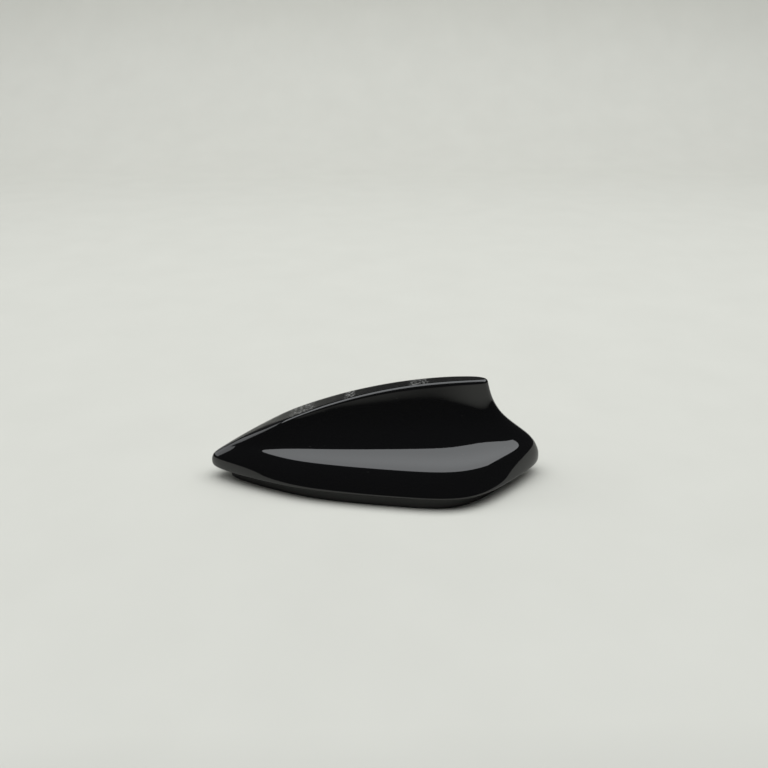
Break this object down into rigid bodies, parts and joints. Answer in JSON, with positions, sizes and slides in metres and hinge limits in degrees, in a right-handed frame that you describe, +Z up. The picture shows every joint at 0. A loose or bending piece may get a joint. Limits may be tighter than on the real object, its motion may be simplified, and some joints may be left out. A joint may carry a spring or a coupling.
{
  "type": "car roof shark fin antenna",
  "caption": "Gloss-black shark fin antenna for a car roof: hollow teardrop cover with a raked blade, rubber rim seal, cast base with a threaded bush and coaxial sockets.",
  "frame": {"origin": "on the roof plane, at the middle of the part's length and width", "axes": "+X from the nose to the tail (rearward on the car), +Y to the right of the car, +Z up away from the roof"},
  "size_m": [0.1654, 0.0736, 0.0518],
  "materials": {
    "cover_gloss_black": "high-gloss black paint over a moulded shell",
    "seal_rubber": "matte black moulded rubber",
    "gasket_foam": "closed-cell foam rubber",
    "cast_base": "bare die-cast alloy",
    "bush_steel": "zinc-plated steel",
    "board_green": "glass-epoxy board with green solder mask",
    "tape_foam": "white foam adhesive pad",
    "patch_ceramic": "sintered ceramic",
    "tinned_sheet": "tin-plated sheet",
    "contact_brass": "gold-flashed brass",
    "radiator_sheet": "stamped brass sheet",
    "carrier_plastic": "moulded black plastic",
    "phone_socket_plastic": "dark red moulded plastic",
    "gnss_socket_plastic": "blue moulded plastic",
    "socket_metal": "nickel-plated die casting",
    "insulator_plastic": "white insulating plastic",
    "screw_steel": "zinc-plated steel"
  },
  "bodies": {
    "root": {"fin_cover": "cover_gloss_black", "rim_seal": "seal_rubber", "roof_gasket": "gasket_foam", "base_plate": "cast_base", "base_foot": "cast_base", "mount_bush": "bush_steel", "main_board": "board_green", "patch_tape": "tape_foam", "gnss_patch": "patch_ceramic", "gnss_feed_pin": "contact_brass", "amplifier_shield": "tinned_sheet", "phone_radiator": "radiator_sheet", "radiator_carrier": "carrier_plastic", "feed_spring": "contact_brass", "board_screws": "screw_steel", "cover_screws": "screw_steel", "phone_socket_housing": "phone_socket_plastic", "phone_socket_shell": "socket_metal", "phone_socket_insulator": "insulator_plastic", "phone_socket_contact": "contact_brass", "gnss_socket_housing": "gnss_socket_plastic", "gnss_socket_shell": "socket_metal", "gnss_socket_insulator": "insulator_plastic", "gnss_socket_contact": "contact_brass"}
  },
  "joints": []
}
